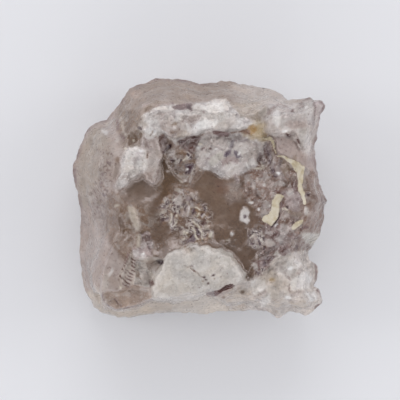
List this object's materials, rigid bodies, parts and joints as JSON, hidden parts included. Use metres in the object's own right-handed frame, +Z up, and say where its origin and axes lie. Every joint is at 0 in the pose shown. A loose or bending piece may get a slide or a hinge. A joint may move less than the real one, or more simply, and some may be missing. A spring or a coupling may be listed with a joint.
{
  "type": "rough diamond",
  "caption": "Squat blocky rough crystal with a frosted skin, a smoky broken hollow in its top and a horn at one corner.",
  "frame": {"origin": "centre of the plan's bounding box, on the flat resting face", "axes": "+Z up out of the broken hollow, +X towards the side with the horn, +Y towards the back"},
  "size_m": [0.0102, 0.0096, 0.007],
  "materials": {
    "frosted_diamond": "frosted grey-beige natural skin, smoky brown and glassy in the broken hollow",
    "ochre_deposit": "dull cream and ochre iron-stained deposit in the cracks"
  },
  "bodies": {
    "root": {"rough_diamond": "frosted_diamond"}
  },
  "joints": []
}
